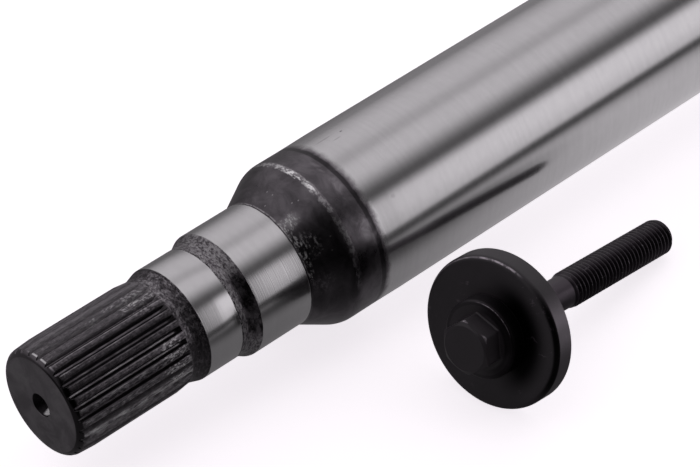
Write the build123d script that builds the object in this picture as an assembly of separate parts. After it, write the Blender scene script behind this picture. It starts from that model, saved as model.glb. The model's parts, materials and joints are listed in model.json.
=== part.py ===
from build123d import *
import os
from math import atan2, cos, degrees, radians, sin, tan

# Solid drive shaft with a 28-tooth spline and two ground seats at each end, and its own
# retaining bolt with a captive washer, shown taken off and lying beside it.
#
# Millimetres. X runs along the shaft from the centre of the near end face, Z is up.
# The shaft and the bolt lie on one level surface, which touches the shaft's ground body.

# Shaft, overall
shaft_length = 480.0
body_d = 46.6
body_lead_length = 9.0
raw_band_d = 46.3
raw_band_length = 10.4

# Spline, counted from the end face: past its full depth, each groove's floor rises to the
# outside of the teeth over the run-out
teeth = 28
spline_d = 30.6
spline_length = 33.4
root_d = 28.2
groove_floor_width = 0.5
flank_angle = 30.0
groove_length = 34.2
runout_length = 3.4
spline_turn = 9.5

# End edge of the spline, rounded by two bevels that meet at the tooth roots
end_face_d = 25.2
end_bevel_length = 0.65
tooth_bevel_length = 1.75

# Neck behind the teeth
tooth_taper_length = 3.7
neck_d = 29.7
neck_length = 1.2

# Ground seats, and the raw cones that lead up to them. The seal seat's cylinder runs on
# as a raw land to the foot of the second cone
seal_seat_d = 31.8
seal_seat_length = 10.6
bearing_seat_d = 35.0
bearing_seat_length = 17.2
first_cone_length = 3.3
second_land_length = 2.6
second_cone_length = 2.7
second_cone_crest_radius = 1.4
shoulder_cone_length = 10.5
shoulder_crest_radius = 8.0

# Lathe centre in the near face, with its 60 degree mouth
centre_mouth_d = 6.7
centre_drill_d = 3.15
centre_depth = 8.0

# Tapped hole in the far face, which takes the retaining bolt
tap_wall_d = 8.5
tap_depth = 52.0
tap_mouth_d = 10.8

# Retaining bolt: six-sided head on a round collar, reduced shank, rolled thread
hex_across_flats = 13.0
hex_height = 6.1
hex_face_d = 12.2
hex_chamfer_angle = 30.0
collar_d = 21.4
collar_height = 4.7
collar_chamfer = 0.7
shank_d = 8.9
shank_length = 30.4
thread_d = 10.0
thread_lead_length = 1.6
bolt_length = 75.0
tip_chamfer = 1.1

# Captive washer
washer_d = 41.5
washer_thickness = 6.4
washer_front_rounding = 1.4
washer_back_chamfer = 0.5
washer_running_clearance = 0.06
washer_end_float = 0.05

# Where the bolt lies: the middle of its washer's back face seen from above,
# the way it points, and how its head is turned about its own axis
bolt_place_x = 105.7
bolt_place_y = -55.5
bolt_heading = 6.5
head_roll = 12.6

# Places along one end of the shaft, from its face
tooth_bevel_x = end_bevel_length + tooth_bevel_length
neck_x = spline_length + tooth_taper_length
first_cone_x = neck_x + neck_length
seal_seat_x = first_cone_x + first_cone_length
seal_seat_end_x = seal_seat_x + seal_seat_length
second_cone_x = seal_seat_end_x + second_land_length
bearing_seat_x = second_cone_x + second_cone_length
bearing_seat_end_x = bearing_seat_x + bearing_seat_length
crest_x = bearing_seat_end_x + shoulder_cone_length
body_x = crest_x + raw_band_length

surface_z = -body_d / 2
drill_point_angle = 118.0


def vertex_near(shape, x, y):
    """The corner of a flat section that lies nearest to a point."""
    return shape.vertices().sort_by_distance((x, y, 0))[0]


def turned(*corners):
    """A solid turned about the X axis from the corners of its half section, as (x, radius)."""
    return revolve(make_face(Polyline(*corners, close=True)), Axis.X)


def end_blank():
    """One end of the shaft before its teeth are cut: a stepped section turned about X."""
    section = make_face(
        Polyline(
            (0, 0),
            (0, end_face_d / 2),
            (end_bevel_length, root_d / 2),
            (tooth_bevel_x, spline_d / 2),
            (spline_length, spline_d / 2),
            (neck_x, neck_d / 2),
            (first_cone_x, neck_d / 2),
            (seal_seat_x, seal_seat_d / 2),
            (second_cone_x, seal_seat_d / 2),
            (bearing_seat_x, bearing_seat_d / 2),
            (bearing_seat_end_x, bearing_seat_d / 2),
            (crest_x, raw_band_d / 2),
            (body_x, raw_band_d / 2),
            (body_x, 0),
            close=True,
        )
    )
    cone_crest = vertex_near(section, bearing_seat_x, bearing_seat_d / 2)
    section = fillet(cone_crest, second_cone_crest_radius)
    shoulder_crest = vertex_near(section, crest_x, raw_band_d / 2)
    section = fillet(shoulder_crest, shoulder_crest_radius)
    return revolve(section, Axis.X)


def groove_cutter():
    """One tooth space: a slot with 30 degree flanks, whose floor rises over its run-out."""
    over = 1.5
    root = root_d / 2
    ceiling = spline_d / 2 + over
    floor = groove_floor_width / 2
    top = floor + (ceiling - root) * tan(radians(flank_angle))
    end_x = groove_length + runout_length
    across = Polyline((-floor, root), (floor, root), (top, ceiling), (-top, ceiling), close=True)
    slot = extrude(Plane.YZ.offset(-over) * make_face(across), over + end_x)
    side = Polyline(
        (-over, root), (groove_length, root), (end_x, spline_d / 2), (end_x, ceiling), (-over, ceiling),
        close=True,
    )
    return slot & extrude(Plane.XZ * make_face(side), top, both=True)


def splined_end():
    """One end of the shaft with every tooth space cut."""
    cutter = groove_cutter()
    return end_blank() - [Rot(X=spline_turn + 360 / teeth * i) * cutter for i in range(teeth)]


def drilled(mouth_d, drill_d, depth, mouth_angle):
    """A drilled hole from x = 0 inwards, with a conical mouth and a drill point."""
    mouth_depth = (mouth_d - drill_d) / 2 / tan(radians(mouth_angle / 2))
    point_depth = drill_d / 2 / tan(radians(drill_point_angle / 2))
    return turned(
        (0, 0),
        (0, mouth_d / 2),
        (mouth_depth, drill_d / 2),
        (depth, drill_d / 2),
        (depth + point_depth, 0),
    )


def drive_shaft():
    """The whole shaft: the near end, the ground body and the far end, one solid."""
    middle = Plane.YZ.offset(shaft_length / 2)
    end = splined_end()
    near = end - drilled(centre_mouth_d, centre_drill_d, centre_depth, 60)
    far = mirror(end, middle) - mirror(drilled(tap_mouth_d, tap_wall_d, tap_depth, 90), middle)
    far_x = shaft_length - body_x
    body = turned(
        (body_x, 0),
        (body_x, raw_band_d / 2),
        (body_x + body_lead_length, body_d / 2),
        (far_x - body_lead_length, body_d / 2),
        (far_x, raw_band_d / 2),
        (far_x, 0),
    )
    return near + body + far


def retaining_bolt():
    """The bolt along X, with its head's seat at x = 0 and its tip at x = bolt_length."""
    face_x = -collar_height - hex_height
    slope = tan(radians(hex_chamfer_angle))
    corner_d = hex_across_flats / cos(radians(30))
    bevel = (corner_d - hex_face_d) / 2 * slope
    outline = RegularPolygon(hex_across_flats / 2, 6, major_radius=False)
    hexagon = extrude(Plane.YZ.offset(face_x) * Rot(Z=head_roll) * outline, hex_height)
    hexagon &= turned(
        (face_x, 0),
        (face_x, hex_face_d / 2),
        (face_x + bevel, corner_d / 2),
        (0, corner_d / 2),
        (0, 0),
    )
    stem = turned(
        (-collar_height, 0),
        (-collar_height, collar_d / 2 - collar_chamfer),
        (-collar_height + collar_chamfer, collar_d / 2),
        (0, collar_d / 2),
        (0, shank_d / 2),
        (shank_length, shank_d / 2),
        (shank_length + thread_lead_length, thread_d / 2),
        (bolt_length - tip_chamfer, thread_d / 2),
        (bolt_length, thread_d / 2 - tip_chamfer),
        (bolt_length, 0),
    )
    return hexagon + stem


def captive_washer():
    """The washer round the bolt's shank, just off the seat of its head."""
    front_x = washer_end_float
    back_x = front_x + washer_thickness
    bore_d = shank_d + 2 * washer_running_clearance
    section = make_face(
        Polyline(
            (front_x, bore_d / 2),
            (front_x, washer_d / 2),
            (back_x, washer_d / 2),
            (back_x, bore_d / 2),
            close=True,
        )
    )
    section = fillet(vertex_near(section, front_x, washer_d / 2), washer_front_rounding)
    section = chamfer(vertex_near(section, back_x, washer_d / 2), washer_back_chamfer)
    return revolve(section, Axis.X)


def lying_place():
    """Where the bolt comes to rest: on the back rim of its washer and the end of its thread."""
    rim_x = washer_end_float + washer_thickness - washer_back_chamfer
    tip_x = bolt_length - tip_chamfer
    tilt = atan2((washer_d - thread_d) / 2, tip_x - rim_x)
    rim_height = washer_d / 2 * cos(tilt)
    seat_height = rim_height + rim_x * sin(tilt)
    seat_to_back = (washer_end_float + washer_thickness) * cos(tilt)
    heading = radians(bolt_heading)
    seat = (
        bolt_place_x - seat_to_back * cos(heading),
        bolt_place_y - seat_to_back * sin(heading),
        surface_z + seat_height,
    )
    return Pos(*seat) * Rot(Z=bolt_heading) * Rot(Y=degrees(tilt))


place = lying_place()
nodes = {
    "drive_shaft": drive_shaft(),
    "retaining_bolt": place * retaining_bolt(),
    "captive_washer": place * captive_washer(),
}

os.makedirs("parts", exist_ok=True)
for name, shape in nodes.items():
    export_step(shape, f"parts/{name}.step")
    size = shape.bounding_box().size
    print(f"{name}: {shape.volume:.0f} mm3, {size.X:.2f} x {size.Y:.2f} x {size.Z:.2f} mm")

seat = place.position
direction = (place * Pos(1, 0, 0)).position - seat
print(f"bolt seat at {seat.X:.4f}, {seat.Y:.4f}, {seat.Z:.4f}")
print(f"bolt points along {direction.X:.6f}, {direction.Y:.6f}, {direction.Z:.6f}")
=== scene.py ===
# %% [markdown]
# # Drive shaft with its retaining bolt
#
# A drive shaft is turned and ground from one forging. Its teeth carry the torque, and its
# ground seats carry a seal and a bearing. The bolt and its captive washer pull a hub
# against the shaft, and here they lie beside it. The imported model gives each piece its
# place and size. This lesson gives them surfaces fine enough for a close look.

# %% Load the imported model
import json

import bpy
import numpy as np
from mathutils import Euler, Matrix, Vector


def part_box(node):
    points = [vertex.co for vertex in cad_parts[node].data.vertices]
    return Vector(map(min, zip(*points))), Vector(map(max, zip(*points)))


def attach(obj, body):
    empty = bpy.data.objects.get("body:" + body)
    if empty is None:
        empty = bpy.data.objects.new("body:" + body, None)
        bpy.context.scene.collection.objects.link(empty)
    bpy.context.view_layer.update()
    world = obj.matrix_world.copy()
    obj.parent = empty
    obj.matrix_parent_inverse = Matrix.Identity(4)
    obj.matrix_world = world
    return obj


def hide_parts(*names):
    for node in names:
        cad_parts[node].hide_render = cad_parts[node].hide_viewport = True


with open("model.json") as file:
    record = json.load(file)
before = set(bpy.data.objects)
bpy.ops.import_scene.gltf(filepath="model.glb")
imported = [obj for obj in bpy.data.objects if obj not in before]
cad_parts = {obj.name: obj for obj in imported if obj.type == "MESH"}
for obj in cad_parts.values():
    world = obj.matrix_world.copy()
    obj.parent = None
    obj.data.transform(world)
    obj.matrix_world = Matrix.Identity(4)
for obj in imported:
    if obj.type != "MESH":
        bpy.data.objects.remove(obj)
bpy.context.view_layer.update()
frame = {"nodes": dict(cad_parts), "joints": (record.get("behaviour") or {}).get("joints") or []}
scene = bpy.context.scene
scene.view_settings.view_transform = "Standard"
MM = 0.001
print("nodes:", sorted(frame["nodes"]))

# %% [markdown]
# ## Camera
#
# A long lens far away keeps the shaft's sides nearly parallel. The camera has no roll, so
# two angles and a place say where it looks.

# %% Set up the camera
camera_place = Vector((-0.3602, -0.4931, 0.6002))
camera_heading = 46.73
camera_dip = 41.90

camera_data = bpy.data.cameras.new("camera")
camera_data.lens = 178.9
camera_data.sensor_width = 36.0
camera = bpy.data.objects.new("camera", camera_data)
camera.location = camera_place
camera.rotation_euler = Euler((np.radians(90 - camera_dip), 0, np.radians(camera_heading - 90)))
scene.collection.objects.link(camera)
scene.camera = camera
print("camera looks down by", camera_dip, "degrees")

# %% [markdown]
# ## Surfaces of rings
#
# Everything here was turned in a lathe, so every surface is a row of rings on one axis,
# closed by a point at each end. Blender's Spin tool makes such a shape from a drawn
# profile. An array of points does it too, and lets a ring leave the circle where teeth
# or a thread were cut, so that way is used.

# %% A closed surface from rings
def ring_mesh(name, rings, first_pole, last_pole, sharp_angle=32.0):
    """A closed mesh from rings of points and a pole at each end.

    Rings has the shape (stations, around, 3). Face k of band i joins points k and k + 1 of
    rings i and i + 1, the last point of a ring joins its first, and triangles join the end
    rings to the poles. Edges that turn by more than the sharp angle stay crisp.
    """
    stations, around, _ = rings.shape
    vertices = np.concatenate([rings.reshape(-1, 3), [first_pole, last_pole]]) * MM
    first, last = stations * around, stations * around + 1
    k = np.arange(around)
    k_next = np.roll(k, -1)
    row = np.arange(stations - 1)[:, None] * around
    quads = np.stack([row + k, row + k_next, row + around + k_next, row + around + k], axis=-1)
    end = (stations - 1) * around
    cap_a = np.stack([np.full(around, first), k_next, k], axis=-1)
    cap_b = np.stack([np.full(around, last), end + k, end + k_next], axis=-1)
    faces = quads.reshape(-1, 4).tolist() + cap_a.tolist() + cap_b.tolist()
    if volume_sign(rings) < 0:
        faces = [face[::-1] for face in faces]
    mesh = bpy.data.meshes.new(name)
    mesh.from_pydata(vertices.tolist(), [], faces)
    mesh.shade_smooth()
    mesh.set_sharp_from_angle(angle=np.radians(sharp_angle))
    mesh.validate()
    piece = bpy.data.objects.new(name, mesh)
    scene.collection.objects.link(piece)
    print(name, "has", len(mesh.vertices), "points and", len(mesh.polygons), "faces")
    return piece


def volume_sign(rings):
    """The sign of the enclosed volume: the sum of a . (b x c) over one triangle of each quad."""
    a = rings[:-1]
    b = np.roll(rings, -1, axis=1)[:-1]
    c = np.roll(rings, -1, axis=1)[1:]
    d = rings[1:]
    triple = np.einsum("ijk,ijk->", a, np.cross(b, c)) + np.einsum("ijk,ijk->", a, np.cross(c, d))
    return np.sign(triple)


def rounded_path(corners, turn_step=5.0):
    """Points along straight runs that are joined by arcs.

    Each corner is (x, radius from the axis, rounding, longest step of the run before it).
    Where the path turns by an angle t, an arc of radius q starts and ends q tan(t / 2) from
    the corner, and its points lie q from a centre on the corner's bisector.
    """
    corners = [np.array(corner, float) for corner in corners]
    points = [corners[0][:2]]
    for before, here, after in zip(corners, corners[1:], corners[2:] + [None]):
        place, rounding, step = here[:2], here[2], here[3]
        back = before[:2] - place
        back /= np.linalg.norm(back)
        arc = [place]
        if rounding > 0:
            ahead = after[:2] - place
            ahead /= np.linalg.norm(ahead)
            turn = np.pi - np.arccos(np.clip(back @ ahead, -1, 1))
            reach = rounding * np.tan(turn / 2)
            bisector = (back + ahead) / np.linalg.norm(back + ahead)
            centre = place + bisector * rounding / np.cos(turn / 2)
            start, stop = place + back * reach - centre, place + ahead * reach - centre
            share = np.linspace(0, 1, max(2, int(np.degrees(turn) / turn_step) + 2))[:, None]
            towards_start, towards_stop = np.sin((1 - share) * turn), np.sin(share * turn)
            arc = centre + (towards_start * start + towards_stop * stop) / np.sin(turn)
        run = np.linalg.norm(arc[0] - points[-1])
        steps = max(1, int(np.ceil(run / step)))
        share = np.linspace(0, 1, steps + 1)[1:, None]
        points.extend(points[-1] + share * (arc[0] - points[-1]))
        points.extend(arc[1:])
    return np.array(points)


# %% [markdown]
# ## The shaft
#
# The real shaft starts as a forging, is turned, has its teeth cut by a hob, and is ground
# on its seats and body. Its section is one path from the lathe centre in the near face to
# the tapped hole in the far face. In each ring the points follow the 28 tooth spaces:
# twelve points a tooth, on the floor, the two flanks, the edges and the land.

# %% Sizes of the shaft, in millimetres
low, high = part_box("drive_shaft")
shaft_length = (high.x - low.x) / MM
surface_z = low.z / MM

# body, and the raw band beside it
body_r, raw_band_r, body_lead = -surface_z, 23.15, 9.0
# teeth, and the grooves between them
teeth, spline_turn = 28, 9.5
spline_r, root_r, spline_length = 15.3, 14.1, 33.4
floor_half, land_edge = 0.25, 0.12
flank_slope = np.tan(np.radians(30))
groove_length, runout_r, groove_end_x = 34.2, 3.2, 36.4
# end face and its rounded edge
end_face_r, rim_r, rim_rounding, lead_x = 12.4, 14.85, 2.25, 6.7
# neck, seats and cones, by their places from the end face
neck_x, neck_end_x, neck_r = 37.1, 38.3, 14.85
seal_seat_x, seal_seat_end_x, seal_seat_r = 41.6, 52.2, 15.9
second_cone_x, bearing_seat_x = 54.8, 57.5
bearing_seat_end_x, bearing_seat_r = 74.7, 17.5
seat_edge_run, seat_edge_drop = 0.1, 0.03
crest_x, body_x = 85.2, 95.6
# lathe centre in the near face, and the tapped hole in the far one
centre_mouth_r, centre_wall_r, centre_depth = 3.35, 1.575, 8.0
tap_mouth_r, tap_wall_r, tap_depth = 5.4, 4.25, 52.0
tap_pitch, tap_groove, tap_thread_end = 1.5, 0.72, 9.8
print("the shaft is", round(shaft_length, 2), "mm long")


# %% The path of the shaft's section
def end_path():
    """Half the outside, from the end face to the ground body, as (x, radius)."""
    return rounded_path(
        [
            (0, end_face_r, 0, 1),
            (0, rim_r, rim_rounding, 1),
            (lead_x, spline_r, 0, 1.2),
            (spline_length, spline_r, 0, 9),
            (neck_x, neck_r, 0.5, 0.25),
            (neck_end_x, neck_r, 0.8, 0.4),
            (seal_seat_x, seal_seat_r, 1.4, 0.8),
            (seal_seat_end_x, seal_seat_r, 0, 6),
            (seal_seat_end_x + seat_edge_run, seal_seat_r - seat_edge_drop, 0, 1),
            (second_cone_x, seal_seat_r - seat_edge_drop, 0.8, 1),
            (bearing_seat_x, bearing_seat_r, 1.2, 0.8),
            (bearing_seat_end_x, bearing_seat_r, 1.6, 8),
            (crest_x, raw_band_r, 8.0, 2),
            (body_x, raw_band_r, 0, 2),
            (body_x + body_lead, body_r, 0, 3),
        ]
    )


def hole_path(mouth_r, wall_r, depth, mouth_slope, fine_length):
    """A drilled hole from its mouth down to its point, as (depth, radius), the pole left out.

    The mouth narrows by its slope. Below it, the rings lie close together for the fine
    length, where a thread may follow, and far apart after that.
    """
    point_slope = np.tan(np.radians(59))
    tip = depth + wall_r / point_slope
    mouth_end = (mouth_r - wall_r) / mouth_slope
    return rounded_path(
        [
            (0, mouth_r, 0, 1),
            (mouth_end, wall_r, 0, 0.4),
            (mouth_end + fine_length, wall_r, 0, 0.25),
            (depth, wall_r, 0, 6),
            (depth + 0.7 * wall_r / point_slope, 0.3 * wall_r, 0, 1),
        ]
    ), tip


centre_slope, tap_slope = np.tan(np.radians(30)), 1.0
centre_hole, centre_tip = hole_path(centre_mouth_r, centre_wall_r, centre_depth, centre_slope, 0.5)
tapped_hole, tap_tip = hole_path(tap_mouth_r, tap_wall_r, tap_depth, tap_slope, 9.0)
outside = end_path()
print("the outside takes", len(outside), "stations at each end")


# %% One ring of teeth
def tooth_points(x, envelope):
    """The points of one tooth space and its two half lands, from its middle: their angles,
    radii, and heights as a share of the tooth.

    The floor lies at the root radius, and past the straight groove it rises on the hob's
    circle. A flank is the line t = c + z T at slope T, with c = f - root T for a floor 2 f
    wide, and it meets the envelope R where t^2 + z^2 = R^2.
    """
    half_pitch = np.pi / teeth
    even = np.linspace(0, half_pitch, 7)
    past = np.clip(x - groove_length, 0, runout_r)
    root = root_r + runout_r - np.sqrt(runout_r**2 - past**2)
    if envelope < root_r + 0.03 or x > neck_end_x:
        angle, radius, height = even, np.full(7, float(envelope)), np.ones(7)
    else:
        c = floor_half - root_r * flank_slope
        square = 1 + flank_slope**2
        z_top = (-c * flank_slope + np.sqrt(envelope**2 * square - c**2)) / square
        grooved = z_top > root + 0.02
        root = min(root, z_top - 0.02)
        bevel = min(land_edge, 0.3 * (z_top - root))
        z = np.array([root, root, (root + z_top) / 2, z_top - bevel])
        t = (c + z * flank_slope) * (0, 1, 1, 1)
        top = np.arctan2(c + z_top * flank_slope, z_top) + 0.6 * bevel / envelope
        land = np.array([top, (top + half_pitch) / 2, half_pitch])
        angle = np.concatenate([np.arctan2(t, z), land])
        radius = np.concatenate([np.hypot(t, z), np.full(3, float(envelope))])
        height = np.array([0, 0, 0.4, 0.8, 1, 1, 1])
        if not grooved:
            share = np.clip((x - groove_end_x) / (neck_end_x - groove_end_x), 0, 1)
            angle = angle + share * (even - angle)
            radius, height = np.full(7, float(envelope)), np.ones(7)
    halves = ((angle, -1), (radius, 1), (height, 1))
    return [np.concatenate([side * part[:0:-1], part[:-1]]) for part, side in halves]


def tapped_wall(depth, radius, angle):
    """The tapped hole's radius: its wall, or the thread's groove where that is deeper. The
    groove advances one pitch a turn and fades after the first turns."""
    phase = np.mod(depth / tap_pitch + angle / (2 * np.pi), 1)
    groove = tap_groove * np.clip(1.2 - 2.4 * np.abs(phase - 0.5), 0, 1)
    fade = np.clip((tap_thread_end - depth) / tap_pitch, 0, 1)
    return np.maximum(radius, tap_wall_r + groove * fade)


def ring_points(x, radius, angle):
    """One ring: x along the axis, radius cos(angle) across it and radius sin(angle) up."""
    across, up = radius * np.cos(angle), radius * np.sin(angle)
    return np.stack([np.full(angle.shape, x), across, up], -1)


def shaft_rings():
    """Every ring of the shaft from one hole's bottom to the other's, and the heights.

    One end's path is (x, r), and the other end's is the same path at (length - x, r).
    """
    far_outside = (outside * (-1, 1) + (shaft_length, 0))[::-1]
    path = np.concatenate([centre_hole[::-1], outside, far_outside])
    space = np.arange(teeth)[:, None] * 2 * np.pi / teeth + np.radians(90 + spline_turn)
    rings, heights = [], []
    for x, r in path:
        angle, radius, height = tooth_points(min(x, shaft_length - x), r)
        angle = (space + angle).ravel()
        rings.append(ring_points(x, np.tile(radius, teeth), angle))
        heights.append(np.tile(height, teeth))
    for depth, r in tapped_hole:
        angle, _, height = tooth_points(0, r)
        angle = (space + angle).ravel()
        rings.append(ring_points(shaft_length - depth, tapped_wall(depth, r, angle), angle))
        heights.append(np.tile(height, teeth))
    return np.array(rings), np.array(heights)


shaft_points, tooth_heights = shaft_rings()
shaft = ring_mesh("shaft_surface", shaft_points, (centre_tip, 0, 0), (shaft_length - tap_tip, 0, 0))
stands = shaft.data.attributes.new("tooth_height", "FLOAT", "POINT")
stands.data.foreach_set("value", np.append(tooth_heights.ravel(), (1.0, 1.0)))
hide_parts("drive_shaft")
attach(shaft, "shaft_and_bolt")

# %% [markdown]
# ## The bolt
#
# The head was pressed cold: a hexagon on a round collar. The thread was rolled, which
# leaves the shank between them thinner than the thread, and that keeps the washer on. The
# hexagon is a ring whose points leave the circle. The thread is a helix, so its radius
# depends on the turns along the bolt less the share of a turn round it, which makes the
# thread right-handed.

# %% Where the bolt lies
joint = frame["joints"][0]
along = Vector(joint["axis"]).normalized()
level = Vector((0, 0, 1)).cross(along).normalized()
lift = along.cross(level)
washer_middle = Vector(joint["pos_m"]) / MM
washer_thickness = 6.4
washer_float = 0.05
seat = washer_middle - along * (washer_float + washer_thickness / 2)
print("the bolt points along", [round(a, 3) for a in along])


def placed(x, radius, angle):
    """Points of the bolt: the seat + x along + r cos(angle) level + r sin(angle) lift, where
    x runs along its axis from the head's seat."""
    flat, high_part = radius * np.cos(angle), radius * np.sin(angle)
    place = np.array(seat)
    for distance, way in ((x, along), (flat, level), (high_part, lift)):
        place = place + np.broadcast_to(distance, flat.shape)[..., None] * np.array(way)
    return place


# %% The bolt's sizes and rings
hex_flat, hex_corner_r = 6.5, 7.42
hex_height = 6.1
hex_face_r = 6.1
head_roll = np.radians(12.6)
collar_r, collar_height = 10.7, 4.7
shank_r, shank_length = 4.45, 30.4
thread_r, thread_pitch, thread_depth = 5.0, 1.5, 0.9
bolt_length, tip_chamfer = 75.0, 1.1
rings_per_pitch = 12


def hexagon_radius(angle):
    """Distance to the side of the hexagon: half the flats over the cosine of the angle from
    the middle of the side, with the corner itself taken back a little."""
    from_corner = np.mod(angle - head_roll + np.pi / 6, np.pi / 3) - np.pi / 6
    from_flat = np.pi / 6 - np.abs(from_corner)
    sharp = hex_flat / np.cos(from_flat)
    return np.minimum(sharp, hex_corner_r)


def head_angles():
    """Angles round the bolt: even, and closer together by each corner of the hexagon."""
    corner = head_roll + np.arange(6)[:, None] * np.pi / 3
    beside = np.radians([-1.4, 0, 1.4, 4, 9, 15, 21, 26, 30, 34, 39, 45, 51, 56])
    return np.sort(np.mod((corner + beside).ravel(), 2 * np.pi))


def thread_radius(x, angle):
    """A rolled thread: the crest less a rounded tooth of depth d that advances one pitch a
    turn. It fades in over its first two turns and out at the tip's chamfer."""
    phase = np.mod(x / thread_pitch - angle / (2 * np.pi), 1)
    ridge = np.clip(1.25 - np.abs(phase - 0.5) * 2.6, 0, 1)
    ridge = ridge * ridge * (3 - 2 * ridge) * 0.35 + ridge * 0.65
    start = np.clip((x - shank_length) / (1.4 * thread_pitch), 0, 1)
    crest = shank_r + (thread_r - shank_r) * start
    depth = thread_depth * np.clip((x - shank_length) / (2 * thread_pitch), 0, 1)
    tip = np.clip((bolt_length - x) / tip_chamfer, 0, 1)
    cut = np.minimum(crest, thread_r - tip_chamfer * (1 - tip))
    return np.minimum(cut, crest - depth * (1 - ridge))


def bolt_rings():
    """Every ring of the bolt, from the head's face to the tip."""
    angle = head_angles()
    side = hexagon_radius(angle)
    face_x = -collar_height - hex_height
    rows = [(face_x, r) for r in (1.5, 3.5, 5.2, hex_face_r)]
    bevel_x = face_x + (side - hex_face_r) * np.tan(np.radians(30))
    foot_x = -collar_height - 0.35
    rows += [(bevel_x + (foot_x - bevel_x) * share, side) for share in (0, 0.05, 0.5, 1)]
    rows.append((-collar_height, side + 0.3))
    collar = rounded_path(
        [
            (-collar_height, 8.2, 0, 1),
            (-collar_height, collar_r, 0.7, 1),
            (0, collar_r, 0.3, 1.5),
            (0, shank_r, 0.25, 3),
            (shank_length, shank_r, 0, 8),
        ],
        turn_step=15,
    )
    rows += list(collar)
    steps = int((bolt_length - shank_length) / thread_pitch * rings_per_pitch)
    for x in np.linspace(shank_length, bolt_length, steps + 1)[1:]:
        rows.append((x, thread_radius(x, angle)))
    rows += [(bolt_length, r) for r in (2.6, 1.2)]
    return np.array([placed(x, radius, angle) for x, radius in rows])


face_middle = placed(-collar_height - hex_height, 0.0, 0.0)
tip_middle = placed(bolt_length, 0.0, 0.0)
bolt = ring_mesh("bolt_surface", bolt_rings(), face_middle, tip_middle, 28.0)
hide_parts("retaining_bolt")
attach(bolt, "shaft_and_bolt")

# %% [markdown]
# ## The captive washer
#
# A thick plate washer, turned with a round edge at the front. It runs loose on the bolt's
# shank. Spin could turn it too, but the same arrays as above give it the bolt's tilt
# directly. Its section closes on itself, so its surface is a ring of rings with no poles.

# %% Turn the washer
washer_r = 20.74
washer_bore_r = 4.51
front_rounding, back_chamfer = 1.4, 0.5
around_washer = 160


def washer_mesh():
    """A closed ring: the section's points turned round the bolt's axis."""
    front, back = washer_float, washer_float + washer_thickness
    section = rounded_path(
        [
            (front, washer_bore_r + 0.2, 0, 1),
            (front, washer_r, front_rounding, 3),
            (back - back_chamfer, washer_r, 0, 2),
            (back, washer_r - back_chamfer, 0, 1),
            (back, washer_bore_r + 0.3, 0, 3),
            (back - 0.3, washer_bore_r, 0, 1),
            (front + 0.2, washer_bore_r, 0, 3),
        ],
        turn_step=10,
    )
    angle = np.linspace(0, 2 * np.pi, around_washer, endpoint=False)
    rings = np.array([placed(x, r, angle) for x, r in section])
    count = len(section)
    i, k = np.meshgrid(np.arange(count), np.arange(around_washer), indexing="ij")
    i_next, k_next = (i + 1) % count, (k + 1) % around_washer
    corners = [i * around_washer + k, i * around_washer + k_next]
    corners += [i_next * around_washer + k_next, i_next * around_washer + k]
    faces = np.stack(corners, axis=-1).reshape(-1, 4)
    if volume_sign(np.concatenate([rings, rings[:1]])) < 0:
        faces = faces[:, ::-1]
    mesh = bpy.data.meshes.new("washer_surface")
    mesh.from_pydata((rings.reshape(-1, 3) * MM).tolist(), [], faces.tolist())
    mesh.shade_smooth()
    mesh.set_sharp_from_angle(angle=np.radians(35))
    piece = bpy.data.objects.new("washer_surface", mesh)
    scene.collection.objects.link(piece)
    print("the washer has", len(mesh.polygons), "faces")
    return piece


washer = washer_mesh()
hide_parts("captive_washer")
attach(washer, "washer")

# %% [markdown]
# ## Shader sums in Python
#
# A material is a web of nodes. Wrapping a socket in a small class lets a mask be written
# as a sum: each operator adds one Math node. Every other node comes from one method.

# %% The socket wrapper
class Wire:
    """An output socket of a node tree. Operators on it add Math nodes."""

    def __init__(self, tree, socket=None):
        self.tree = tree
        self.socket = socket

    def node(self, kind, settings=None, inputs=None, output=0):
        """Adds a node: its settings first, then the values or links of its sockets."""
        node = self.tree.nodes.new(kind)
        for name, value in (settings or {}).items():
            setattr(node, name, value)
        for name, value in (inputs or {}).items():
            if isinstance(value, Wire):
                self.tree.links.new(value.socket, node.inputs[name])
            else:
                node.inputs[name].default_value = value
        return Wire(self.tree, None if output is None else node.outputs[output])

    def maths(self, operation, *values):
        """A Math node on the given values."""
        return self.node("ShaderNodeMath", {"operation": operation}, dict(enumerate(values)))

    def __add__(self, other):
        return self.maths("ADD", self, other)

    def __radd__(self, other):
        return self.maths("ADD", other, self)

    def __sub__(self, other):
        return self.maths("SUBTRACT", self, other)

    def __rsub__(self, other):
        return self.maths("SUBTRACT", other, self)

    def __mul__(self, other):
        return self.maths("MULTIPLY", self, other)

    def __rmul__(self, other):
        return self.maths("MULTIPLY", other, self)

    def rise(self, start, end):
        """0 below start, 1 above end, and a smooth rise between."""
        limits = {"Value": self, "From Min": start, "From Max": end}
        return self.node("ShaderNodeMapRange", {"interpolation_type": "SMOOTHSTEP"}, limits, "Result")

    def between(self, start, end, soft):
        """1 between start and end, with soft edges that are so wide."""
        begins = self.rise(start - soft / 2, start + soft / 2)
        return begins * (1 - self.rise(end - soft / 2, end + soft / 2))

    def blend(self, a, b):
        """a where this mask is 0, and b where it is 1."""
        return self.node("ShaderNodeMix", {}, {"Factor": self, "A": a, "B": b}, "Result")


def new_material(name, piece):
    """An empty material on a piece, as the wrapper of its tree."""
    material = bpy.data.materials.new(name)
    material.use_nodes = True
    material.node_tree.nodes.clear()
    piece.data.materials.clear()
    piece.data.materials.append(material)
    return Wire(material.node_tree)


def scaled(paint, colour, amount):
    """A colour or a vector times an amount."""
    inputs = {"Vector": colour, "Scale": amount}
    return paint.node("ShaderNodeVectorMath", {"operation": "SCALE"}, inputs)


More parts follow.
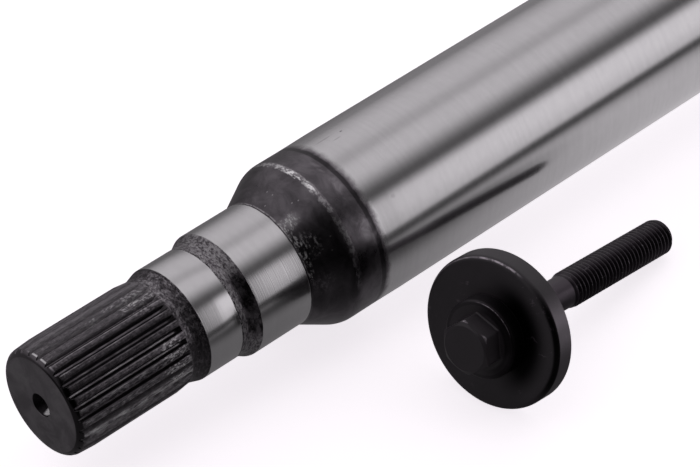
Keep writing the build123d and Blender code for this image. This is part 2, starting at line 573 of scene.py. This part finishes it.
def finish_material(paint, tone, tint, roughness, metallic, normal):
    """A Principled shader on the output. Its colour is the tint, scaled by the grey tone."""
    colour = scaled(paint, tint, tone)
    inputs = {"Base Color": colour, "Roughness": roughness, "Metallic": metallic, "Normal": normal}
    shader = paint.node("ShaderNodeBsdfPrincipled", {}, inputs)
    paint.node("ShaderNodeOutputMaterial", {}, {"Surface": shader}, None)


def bumps(paint, height):
    """The surface's normal, bent by a height in millimetres."""
    inputs = {"Strength": 1.0, "Distance": MM, "Height": height}
    return paint.node("ShaderNodeBump", {}, inputs, "Normal")


def faint_violet(paint, green):
    """A tint near white: full red and blue, and this much green."""
    return paint.node("ShaderNodeCombineXYZ", {}, {"X": 1.0, "Y": green, "Z": 1.0})


# %% [markdown]
# ## A place on a turned piece
#
# Wear and tool marks follow a turned piece round, so its materials think in a length along
# the axis, a distance from it and an angle round it. Object coordinates give all three, and
# need no unwrapping. The same class serves the shaft, the bolt and the washer.

# %% Coordinates for a turned piece
class Turned:
    """Where a point lies on a turned piece: x along the axis from an origin, from_axis, both
    in millimetres, and angle, 0 to 360 degrees round the axis from the second direction."""

    def __init__(self, paint, origin=(0, 0, 0), axes=((1, 0, 0), (0, 1, 0), (0, 0, 1))):
        self.paint = paint
        place = scaled(paint, paint.node("ShaderNodeTexCoord", output="Object"), 1 / MM)
        kind, subtract, dot = "ShaderNodeVectorMath", {"operation": "SUBTRACT"}, {"operation": "DOT_PRODUCT"}
        away = paint.node(kind, subtract, {0: place, 1: tuple(origin)})
        parts = [paint.node(kind, dot, {0: away, 1: tuple(axis)}, "Value") for axis in axes]
        self.x, self.flat, self.high = parts
        self.from_axis = paint.maths("SQRT", self.flat * self.flat + self.high * self.high)
        turn = paint.maths("ARCTAN2", self.high, self.flat) * (180 / np.pi)
        self.angle = paint.maths("FLOORED_MODULO", turn, 360.0)

    def grain(self, along, around, detail=3.0, rough=0.55, distortion=0.0):
        """Noise from 0 to 1 with so many spots a millimetre along the axis and round it."""
        place = {"X": self.x * along, "Y": self.flat * around, "Z": self.high * around}
        stretched = self.paint.node("ShaderNodeCombineXYZ", {}, place)
        values = {"Vector": stretched, "Scale": 1.0, "Detail": detail, "Roughness": rough}
        values["Distortion"] = distortion
        return self.paint.node("ShaderNodeTexNoise", {}, values, "Fac")

    def patch(self, x, angle, x_reach, angle_reach, soft=0.5):
        """1 in an ellipse round a place, 0 outside it, with a soft edge."""
        across = (self.x - x) * (1 / x_reach)
        round_it = (self.angle - angle) * (1 / angle_reach)
        distance = self.paint.maths("SQRT", across * across + round_it * round_it)
        return 1 - distance.rise(1 - soft, 1 + soft)


# %% [markdown]
# ## The shaft's finishes
#
# Grinding leaves bright steel. The forging's skin stays on the cones, and the teeth are dark
# with oil. Light and shade are painted in places too: on the first cone and the shoulder, on
# the teeth, and at the end. One material carries all of them, because the real finishes run
# into each other on one surface. Each finish has a mask, and noise moves its edge, since the
# edge is never a clean line on the real shaft. Places are millimetres from the nearer end
# and degrees round the shaft: 0 is level at the back, 90 on top and 180 level at the front.

# %% Masks of the finishes
paint = new_material("shaft_finish", shaft)
on = Turned(paint)
from_end = paint.maths("MINIMUM", on.x, shaft_length - on.x)
height = paint.node("ShaderNodeAttribute", {"attribute_name": "tooth_height"}, output="Fac")
teeth_finish_x, skin_x, ground_body_x = 36.2, 74.0, 94.6

wander = on.grain(0.35, 0.35, 4.0) - 0.5
edge_place = from_end + wander * 0.4
soft_place = from_end + wander * 2.4
seat_mask = edge_place.between(seal_seat_x + 0.15, seal_seat_end_x - 0.05, 0.12)
seat_mask = seat_mask + edge_place.between(bearing_seat_x + 0.15, skin_x + 0.05, 0.12)
body_mask = soft_place.rise(ground_body_x, ground_body_x + 2.6)
ground = paint.maths("MINIMUM", seat_mask + body_mask, 1.0)
shoulder = from_end.rise(skin_x, skin_x + 0.4)
second_zone = from_end.rise(seal_seat_end_x - 0.2, seal_seat_end_x)
teeth_mask = 1 - edge_place.rise(teeth_finish_x, teeth_finish_x + 0.6)
face_mask = 1 - from_end.rise(0.03, 0.12)
rim_mask = 1 - (from_end + (1 - height) * 0.5).rise(1.25, 1.65)
print("the masks take", len(paint.tree.nodes), "nodes")

# %% Grains of the raw steel
fine_rings = on.grain(7.0, 0.015, 2.0, 0.6)
broad_rings = on.grain(0.9, 0.02, 3.0)
lapped = on.grain(0.5, 0.35, 3.0)
mottle = on.grain(1.3, 0.9, 6.0, 0.7, 0.3)
stretched = on.grain(2.6, 0.9, 5.0, 0.72, 0.2)
specks = on.grain(2.4, 2.4, 3.0, 0.6).rise(0.60, 0.70)
flakes = on.grain(1.1, 0.6, 6.0, 0.75, 0.4)
clouds = on.grain(0.22, 0.16, 5.0, 0.62, 0.5)
dots = on.grain(3.2, 1.6, 2.0).rise(0.46, 0.56)
print("with the grains,", len(paint.tree.nodes), "nodes")

# %% [markdown]
# ## Ground steel and the two small cones
#
# The grinding wheel's rings are noise that is squeezed along the axis and stretched round
# it. The small cones kept the forging's flaky skin, and a narrow threshold on coarse noise
# draws each flake with a crisp edge. The lathe's tool missed a part of the second cone,
# which is still black there.

# %% Colour of the ground steel and of the small raw cones
ground_colour = 0.60 + (fine_rings - 0.5) * 0.07 + (broad_rings - 0.5) * 0.05 + (lapped - 0.5) * 0.05
forged = flakes * 0.45 + stretched * 0.55

flecks = on.grain(1.2, 0.9, 3.0, 0.6, 0.3).rise(0.53, 0.60)
first_colour = forged.rise(0.44, 0.58) * 0.11 + specks * 0.10 + flecks * on.angle.rise(60, 76) * 0.15
# painted shade: the first cone is darker on its lower side, from 160 degrees round to 360
first_colour = first_colour * (1 - on.angle.rise(150, 160) * 0.60) + 0.04
# painted light on top of the first cone near its foot, 62 to 110 degrees, broken up by the skin's noise
first_cone_light = on.angle.between(62, 110, 14) * forged.rise(0.44, 0.54) * 0.12 + 0.01
first_colour = first_colour + from_end.between(36.2, 38.8, 1.2) * first_cone_light

second_colour = 0.08 + forged.rise(0.42, 0.57) * 0.30 + specks * 0.12
unturned = (from_end + (flakes - 0.5) * 2.5).rise(53.9, 54.3)
unturned = unturned * (on.angle + wander * 20).between(123, 184, 12)
patchy = on.grain(0.45, 0.30, 4.0, 0.65).rise(0.44, 0.64)
black_skin = 0.02 + specks * 0.10 + flakes.rise(0.46, 0.66) * 0.08 + patchy * 0.12
second_colour = unturned.blend(second_colour, black_skin)

edge_line = edge_place.between(seal_seat_end_x - 0.05, seal_seat_end_x + 0.4, 0.1)
edge_line = edge_line + edge_place.between(seal_seat_x - 0.45, seal_seat_x - 0.1, 0.1)
cone_colour = second_zone.blend(first_colour, second_colour)
cone_colour = (edge_line * dots).blend(cone_colour, 0.02)
print("with the cones,", len(paint.tree.nodes), "nodes")

# %% [markdown]
# ## The shoulder and the raw band
#
# The shoulder is black scale. It is rubbed bare in specks at its foot, nicked on its slope
# and chipped to bright steel along its crest, where the shaft rolled against others. Every
# such place is a soft ellipse on the surface, and noise breaks it into chips.

# %% Colour of the shoulder
nick_places = (79.7, 141.6), (81.5, 145), (82.5, 136), (80.2, 101), (81.6, 103), (79, 84), (79, 78), (76, 85)
nicks = on.patch(78.7, 143, 0.24, 0.6)
for nick_x, nick_angle in nick_places:
    nicks = nicks + on.patch(nick_x, nick_angle, 0.2, 0.4)
speckled = on.patch(75.2, 140, 0.9, 24, 0.3) + on.patch(77.2, 134, 2.6, 10) * 0.8
speckled = speckled + on.patch(76.4, 111, 2.4, 6)
speckled = speckled * (mottle * 0.5 + stretched * 0.5).rise(0.50, 0.58)
bare = paint.maths("MINIMUM", speckled + nicks * 0.5, 1.0)

scale_colour = 0.085 + clouds.rise(0.3, 0.75) * 0.09 + specks * 0.02
# painted shade: the shoulder is darker low at the front, 150 to 192 degrees
scale_colour = scale_colour * (1 - on.angle.between(150, 192, 24) * on.x.between(74, 86, 2) * 0.55)
scale_colour = scale_colour + on.patch(77.5, 166, 2.6, 9) * mottle.rise(0.45, 0.62) * 0.07
scale_colour = bare.blend(scale_colour, 0.62)
scale_colour = scale_colour + on.patch(76.6, 111, 2.2, 5, 0.8) * 0.18

# %% Wear of the crest and the raw band
chips = on.grain(1.2, 0.6, 6.0, 0.72)
crest_line = (from_end + (chips - 0.5) * 2.6).between(85.2, 86.7, 0.5) * on.angle.between(46, 176, 12)
polished = on.patch(85.9, 62, 1.0, 16) * 0.5 + on.patch(85.6, 86, 2.0, 8) + on.patch(86.4, 101, 1.1, 5)
crest_wear = chips.rise(0.48, 0.54) * (0.20 + polished * 0.45) + 0.05 + polished * 0.10
crest_wear = crest_line * crest_wear
band_wear = on.patch(92, 113, 1.3, 9) + on.patch(92, 92, 0.7, 5) + on.patch(91.8, 142, 1.9, 8)
band_wear = (band_wear + on.patch(94, 152, 1.1, 4)) * clouds.rise(0.35, 0.65) * 0.13
foot_wear = edge_place.between(74.45, 74.8, 0.1) * on.angle.between(50, 128, 12)
foot_wear = foot_wear * stretched.rise(0.40, 0.55) * 0.22
dark_line = edge_place.between(93.5, 94.9, 0.4) * 0.6 + edge_place.between(skin_x, skin_x + 0.4, 0.1) * 0.9
scale_colour = scale_colour * (1 - dark_line) + crest_wear + band_wear + foot_wear
print("with the shoulder,", len(paint.tree.nodes), "nodes")

# %% [markdown]
# ## The teeth
#
# Dust settles in the spaces on top and below, oil keeps the front ones dark, and the hub
# rubbed the lands. Highlights are painted on the floors and on one rim of each land, and
# shade on the front flanks, on one side of each land and in the creases on top. Dirt, wear
# and the painted light follow each tooth, so the pattern needs a place within the pitch:
# the angle over the pitch, -0.5 to 0.5, and 0 in the middle of a space. The tooth's
# height, which the mesh carries, tells the land from the space.

# %% Painted highlights and shade along each tooth
pitch_place = paint.maths("FLOORED_MODULO", (on.angle - spline_turn) * (teeth / 360) + 0.5, 1.0) - 0.5
# painted highlight along each space's floor, faint on top and full from 136 degrees on, ending before the
# run-out
floor_highlight = pitch_place.between(-0.05, 0.05, 0.04) * (1 - from_end.rise(34.3, 34.7))
floor_highlight = floor_highlight * (0.15 + on.angle.rise(100, 136) * 0.85)
# painted highlight on one rim of each land, 98 to 168 degrees
land_rim_highlight = pitch_place.between(0.28, 0.35, 0.04) * on.angle.between(98, 168, 8)
# painted shade on one flank of each space, 105 to 168 degrees
flank_shade = pitch_place.between(0.12, 0.21, 0.04) * on.angle.between(105, 168, 4)
land_shade = pitch_place.between(-0.44, -0.24, 0.12) * on.angle.between(100, 168, 8)
# painted shade in each space's crease on top, 72 to 103 degrees, fading out by the run-out
crease_shade = pitch_place.between(0.01, 0.16, 0.05) * on.angle.between(72, 103, 3)
crease_shade = crease_shade * (1 - from_end.rise(33.5, 35.5))
streaks = 0.72 + on.grain(0.45, 2.6, 4.0, 0.6).rise(0.36, 0.64) * 0.56
uneven = 0.35 + on.grain(0.22, 1.1, 3.0).rise(0.36, 0.62) * 0.65

# %% Scuffs, dust and painted light on the teeth
land = height.rise(0.93, 1.0)
flank_up = height.rise(0.3, 0.9)
upper_scuffs = on.patch(31.0, 91, 5.6, 14) + on.patch(18.5, 84.5, 1.6, 3) + on.patch(24, 81, 1.6, 2)
lower_scuffs = on.patch(31.8, 165, 3.8, 24) * 1.5 + on.patch(23, 188.5, 1.0, 3)
scuffs = upper_scuffs * (0.45 + flank_up * 0.55) + lower_scuffs * flank_up
scuffs = scuffs * on.grain(1.0, 1.8, 3.0, 0.65).rise(0.50, 0.58)
fine_scuffs = land * on.angle.rise(138, 154) * on.grain(0.8, 2.4, 3.0, 0.65).rise(0.52, 0.60)
scuffs = scuffs + fine_scuffs * 0.45

low_height = 1 - height.rise(0.85, 1.0)
upper_dust = (1 - on.angle.rise(94, 101)) * (0.3 + low_height * 0.7) + (1 - on.angle.rise(68, 76)) * 0.6
lower_dust = on.angle.rise(166, 172) * (0.7 + low_height * 0.3)
dusty = paint.maths("MINIMUM", upper_dust + lower_dust, 0.9) * (1 - crease_shade)
# the dust's tone, with painted light and shade in it: lighter down in the spaces, darker over the top
# towards the back, below 44 to 68 degrees
dust_and_light_tone = on.angle.rise(160, 170).blend(0.16 + (1 - height.rise(0.7, 1.0)) * 0.06, 0.06)
dust_and_light_tone = dust_and_light_tone * (0.55 + on.angle.rise(44, 68) * 0.45) + mottle.rise(0.35, 0.65) * 0.03
# a painted band of light low at the front, 181 to 192 degrees
painted_low_light = on.angle.between(181, 192, 4) * on.grain(0.25, 0.8, 4.0).rise(0.38, 0.60)
dust_and_light_tone = dust_and_light_tone + painted_low_light * 0.55

# %% Colour of the teeth
land_colour = 0.045 + mottle.rise(0.42, 0.60) * 0.06 + specks * 0.13
# the lands are lighter in streaks from 143 to 154 degrees round
low_land_lightening = on.grain(0.35, 1.0, 4.0).rise(0.46, 0.62) * 0.16 + 0.02
land_colour = land_colour + on.angle.rise(143, 154) * low_land_lightening
tooth_colour = 0.075 + floor_highlight * uneven * 0.26 + land * (land_colour * (1 - land_shade * 0.6) - 0.065)
tooth_colour = (tooth_colour + land_rim_highlight * uneven * 0.20) * (1 - flank_shade * 0.70)
tooth_colour = dusty.blend(tooth_colour, dust_and_light_tone) * (1 - crease_shade * 0.80) * streaks
tooth_colour = tooth_colour + scuffs * 0.36
print("with the teeth,", len(paint.tree.nodes), "nodes")

# %% [markdown]
# ## The end, and one colour for all
#
# The end face is plain turned steel, dull with oil, painted a little lighter towards the top.
# A glint is painted on the lathe centre's cone, and light on the rim round the face, with
# highlights on the tooth ends. The masks then lay the colours over each other, from the
# cones to the ground steel, which comes last because the wheel cut through all the rest.

# %% Colour of the end's rim, the end face and the lathe centre
tooth_end = height.rise(0.7, 0.95) * from_end.rise(0.9, 1.2)
# painted light: the rim is lighter over the top and the back, below 86 to 112 degrees, with painted
# highlights on the tooth ends near 88 degrees
rim_colour = 0.03 + (1 - on.angle.rise(86, 112)) * 0.09 + on.patch(1.5, 88, 0.7, 16) * tooth_end * 0.6
# the face's colour is painted a little lighter towards the top
face_colour = 0.13 + clouds.rise(0.35, 0.7) * 0.10 + specks * 0.04 + on.high.rise(-6, 10) * 0.05
in_hole = 1 - on.from_axis.rise(3.2, 3.35)
# a painted glint on the lower side of the lathe centre's cone, 196 to 262 degrees
glint = on.angle.between(196, 262, 20) * from_end.between(0.5, 2.9, 0.4)
hole_colour = 0.02 + glint * 0.95

# %% All the colours together
colour = shoulder.blend(cone_colour, scale_colour)
colour = teeth_mask.blend(colour, tooth_colour)
colour = rim_mask.blend(colour, rim_colour)
colour = face_mask.blend(colour, face_colour)
colour = in_hole.blend(colour, hole_colour)
dents = on.patch(101, 73, 2.4, 0.5) * 0.25 + on.patch(103.4, 79.5, 1.2, 0.5) * 0.20
dents = dents + on.patch(103.5, 135, 0.7, 1.2) * 0.125 + on.patch(106.4, 75, 0.35, 0.5) * 0.8
colour = ground.blend(colour, ground_colour * (1 - dents))
print("with all colours,", len(paint.tree.nodes), "nodes")

# %% [markdown]
# ## Gloss and relief
#
# The finishes differ in gloss as much as in colour, so the same masks blend the roughness.
# Scale and dirt stand up by hundredths of a millimetre. A Bump node is enough for that, and
# displacement would only cost faces. Dust and the dirt of the spaces aren't metal.

# %% Roughness, relief and metal
roughness = shoulder.blend(0.40 + mottle * 0.15, 0.22 + clouds * 0.16 + bare * 0.35)
roughness = teeth_mask.blend(roughness, 0.30 + mottle * 0.10 + dusty * 0.20)
roughness = rim_mask.blend(roughness, 0.20)
roughness = face_mask.blend(roughness, 0.34)
roughness = in_hole.blend(roughness, 0.5)
roughness = ground.blend(roughness, 0.17 + (fine_rings - 0.5) * 0.08)

calm = paint.maths("MAXIMUM", ground, rim_mask)
rough_height = (1 - calm) * (mottle * 0.035 + on.grain(0.3, 0.3, 4.0) * 0.05 + stretched * 0.02)
rough_height = rough_height + ground * lapped * 0.004 + seat_mask * on.grain(3.0, 0.01, 1.0) * 0.010
relief = bumps(paint, rough_height)
tint = faint_violet(paint, 0.93 + colour.rise(0.1, 0.5) * 0.07)
dirt = teeth_mask * (1 - rim_mask) * (1 - face_mask) * dusty * (1 - in_hole)
# the painted glint is white and is not metal
metal = 1 - dirt - in_hole * glint * 0.9
finish_material(paint, colour, tint, roughness, metal, relief)
print("the shaft's material has", len(paint.tree.nodes), "nodes")

# %% [markdown]
# ## Black phosphate
#
# The bolt and the washer were dipped in hot phosphate and oiled. The coat is a fine dark
# grain. Handling polishes its edges and scratches it, and it chips on the washer's rim.
# Highlights are painted on those rims too, and a sheen on the washer's side. Shade is
# painted beside the head and on the washer's front edge, where the coat turns blacker. One
# function finishes both pieces, and is told only where each is worn and painted.

# %% Wear, painted highlights and painted shade on the bolt and the washer
def rim_wear_and_highlights(on, rims, rubs):
    """Worn rims and painted highlights: 1 on each rim and 0 at its reach from there, broken
    up by the rubs. A rim is (x, radius, reach, start angle, end angle)."""
    rim_wear_and_light = 0.0
    for x, radius, reach, start, end in rims:
        across = (on.x - x) * (1 / reach)
        out = (on.from_axis - radius) * (1 / reach)
        near = 1 - on.paint.maths("SQRT", across * across + out * out).rise(0.2, 1.0)
        rim_wear_and_light = near * on.angle.between(start, end, 14) * (0.25 + rubs.rise(0.42, 0.58) * 0.75) + rim_wear_and_light
    return rim_wear_and_light


def rubbed_and_sheen(on, rubbed_and_sheen_parts):
    """The amount on each rubbed part and each painted sheen, which is (start x, end x, start
    radius, start angle, end angle, amount)."""
    smooth = 0.0
    for start_x, end_x, start_radius, start, end, amount in rubbed_and_sheen_parts:
        part = on.x.between(start_x, end_x, 0.3) * on.from_axis.rise(start_radius, start_radius + 0.1)
        smooth = part * on.angle.between(start, end, 40) * amount + smooth
    return smooth


def washer_shade(on):
    """Painted shade: 1 on the washer's face close to the head, at the angles beside it, and on
    the front edge low down, which is the ring between two radii."""
    face = (1 - on.from_axis.rise(12.5, 18.5)) * on.angle.between(95, 230, 50) * on.x.rise(-0.2, 0.0)
    edge = on.x.between(0.0, 1.5, 0.4) * on.from_axis.rise(washer_r - 1.7, washer_r - 0.9)
    return face + edge * on.angle.between(128, 206, 30) * 0.85


def collar_shade(on):
    """Painted shade, more or less 1 on the collar beside the hexagon: less on its outer wall,
    and nearly 0 at the angles on the other side."""
    beside_head = on.angle.between(85, 235, 50)
    outer = on.from_axis.rise(collar_r - 1.4, collar_r - 1.1)
    ledge = (1 - outer) * on.from_axis.rise(7.4, 8.4)
    # painted shade on the collar's outer wall and on the ledge beside the hexagon
    collar_shade_amount = outer * (0.3 + beside_head * 0.6) + ledge * beside_head * 0.75
    return collar_shade_amount * on.x.between(-collar_height - 0.2, -0.3, 0.2)


# %% Finish of the bolt and the washer
def black_phosphate(piece, rims, rubbed_and_sheen_parts):
    """A dark coat with a fine grain, bright on worn rims and painted highlights, smooth on
    rubbed parts and under a painted sheen, blacker under painted shade, and a little lighter
    on the thread."""
    paint = new_material(piece.name + "_finish", piece)
    on = Turned(paint, seat, (along, level, lift))
    fine = on.grain(2.5, 2.5, 4.0, 0.6)
    patches = on.grain(0.15, 0.15, 3.0)
    rubs = on.grain(0.7, 0.7, 5.0, 0.7)
    # worn rims, with painted highlights on them
    rim_wear_and_light = rim_wear_and_highlights(on, rims, rubs)
    # rubbed parts, and a painted sheen on the washer's side
    smooth = rubbed_and_sheen(on, rubbed_and_sheen_parts)
    scratches = on.grain(1.5, 0.12, 4.0, 0.7, 0.8).rise(0.62, 0.66) * rubs.rise(0.48, 0.56)
    scratches = scratches * on.x.rise(-1, 0)
    # painted shade beside the head and on the washer's front edge, blacker and less reflective there
    shade_on_washer, shade_on_collar = washer_shade(on), collar_shade(on)
    coat = (0.016 + patches * 0.016 + fine * 0.008) * (1 - shade_on_washer * 0.9)
    coat = coat + on.x.rise(shank_length, shank_length + 1) * (0.045 + rubs.rise(0.60, 0.66) * 0.12)
    coat = coat * (1 - shade_on_collar * 0.6) + rim_wear_and_light * 0.50 + smooth * 0.16 + scratches * 0.05
    rough = 0.34 + patches * 0.14 + fine * 0.06 - rim_wear_and_light * 0.10 - smooth * 0.08
    metal = paint.maths("MINIMUM", rim_wear_and_light + smooth + shade_on_washer + shade_on_collar, 1.0)
    tint = faint_violet(paint, 0.84 + coat.rise(0.03, 0.15) * 0.08)
    finish_material(paint, coat, tint, rough, metal, bumps(paint, fine * 0.012))
    print(piece.name, "has a finish of", len(paint.tree.nodes), "nodes")


washer_back = washer_float + washer_thickness
front_edge_x, front_edge_r = washer_float + 0.4, washer_r - 0.5
black_phosphate(
    bolt,
    # worn rims and painted highlights on the collar's rim and the hexagon's front edge
    [(-collar_height, collar_r - 0.3, 0.2, 75, 145), (-collar_height - hex_height + 0.8, 7.3, 0.5, 60, 160)],
    # the rubbed shank
    [(2.0, shank_length, 4.0, -60, 420, 0.45)],
)
black_phosphate(
    washer,
    # worn rims and painted highlights on the washer's front edge
    [(front_edge_x, front_edge_r, 0.4, 66, 101), (front_edge_x, front_edge_r, 0.3, 10, 60)],
    # a painted sheen on the washer's side, 140 to 270 degrees
    [(washer_float + 1.2, washer_back, washer_r - 0.4, 140, 270, 1.4)],
)

# %% [markdown]
# ## Floor and light
#
# A bright, curved piece of steel shows its room, so the light is the look. The room here
# is a studio: long soft boxes that run beside the shaft, with dark gaps between them, over
# a pale table. Lamps could do it, but a world whose brightness depends on one angle, the
# direction round the shaft's axis, gives the same bands with soft edges and no noise. What
# the steel sees of the table is a painted pool of light, brightest under the shaft's far
# half, with a painted shadow round the bolt. The camera itself sees a table that is almost
# white, with a faint shadow on it.

# %% The pale table
table_half, just_below = 4.0, 0.00002
table_z = surface_z * MM - just_below
corners = np.array([(-1, -1), (1, -1), (1, 1), (-1, 1)]) * table_half
table_mesh = bpy.data.meshes.new("table")
table_mesh.from_pydata([(a, b, table_z) for a, b in corners.tolist()], [], [(0, 1, 2, 3)])
table = bpy.data.objects.new("table", table_mesh)
scene.collection.objects.link(table)
print("the table lies at", round(table_z / MM, 2), "mm")

# %% What the camera sees of the table, and what the steel sees
light_tint = (1.0, 0.955, 1.0)
pale = new_material("table_finish", table)
table_place = pale.node("ShaderNodeTexCoord", output="Object")
table_x = pale.node("ShaderNodeSeparateXYZ", {}, {"Vector": table_place}, "X")
table_y = pale.node("ShaderNodeSeparateXYZ", {}, {"Vector": table_place}, "Y")
# what the steel sees of the table: a painted pool of light, brighter towards the far end and dimmer out in
# front
behind = table_y.rise(-0.01, 0.05)
near_side = (0.26 + table_x.rise(0.06, 0.24) * 0.78) * (1 - (table_y * -1).rise(0.05, 0.25) * 0.96)
# a painted shadow: an ellipse round the bolt, where the table's glow is dimmed
across_x = (table_x - 0.128) * (1 / 0.066)
across_y = (table_y + 0.088) * (1 / 0.043)
from_bolt = pale.maths("SQRT", across_x * across_x + across_y * across_y)
near_side = near_side * (0.22 + from_bolt.rise(0.40, 1.40) * 0.78)
far_side = (0.55 + table_x.rise(0.10, 0.27) * 0.45) * 0.40
mirrored_table = behind.blend(near_side, far_side) * 0.60
camera_ray = pale.node("ShaderNodeLightPath", output="Is Camera Ray")
glossy_ray = pale.node("ShaderNodeLightPath", output="Is Glossy Ray")
table_grey, mirrored_grey, camera_glow = 0.80, 0.06, 0.80
matt = pale.node("ShaderNodeBsdfDiffuse", {}, {"Color": glossy_ray.blend(table_grey, mirrored_grey)})
glow_colour = scaled(pale, light_tint, camera_ray * camera_glow + glossy_ray * mirrored_table)
glow = pale.node("ShaderNodeEmission", {}, {"Color": glow_colour, "Strength": 1.0})
both = pale.node("ShaderNodeAddShader", {}, {0: matt, 1: glow})
pale.node("ShaderNodeOutputMaterial", {}, {"Surface": both}, None)
print("the table's material has", len(pale.tree.nodes), "nodes")

# %% The studio's soft boxes
world = bpy.data.worlds.new("studio")
world.use_nodes = True
world.node_tree.nodes.clear()
scene.world = world
studio = Wire(world.node_tree)
direction = studio.node("ShaderNodeTexCoord", output="Generated")
dir_x, dir_y, dir_z = [
    studio.node("ShaderNodeSeparateXYZ", {}, {"Vector": direction}, part) for part in "XYZ"
]
round_axis = studio.maths("ARCTAN2", dir_z, dir_y) * (180 / np.pi)
print("the studio's directions take", len(studio.tree.nodes), "nodes")

# %% How bright each direction is, by its degrees round the shaft's axis
gap = 0.01 + dir_x.rise(-0.1, 0.2) * 0.08
lean = (1 - dir_x.rise(-0.1, 0.3)) * 12
back_box = round_axis.rise(-30, 36) * (1 - round_axis.rise(48, 72)) * 0.59
over_box = round_axis.rise(48, 82) * (1 - (round_axis + lean).rise(93, 125)) * 0.63
front_box = round_axis.rise(126.5, 143) * (1 - 0.2 * round_axis.rise(155, 175))
front_box = front_box * (1 - round_axis.rise(176, 183)) * dir_x.rise(0.40, 0.53) * 0.88
light = gap + back_box + over_box + front_box
seen_directly = studio.node("ShaderNodeLightPath", output="Is Camera Ray")
sky = scaled(studio, light_tint, seen_directly.blend(light, 1.1))
backdrop = studio.node("ShaderNodeBackground", {}, {"Color": sky, "Strength": 1.0})
studio.node("ShaderNodeOutputWorld", {}, {"Surface": backdrop}, None)
print("the studio has three soft boxes")
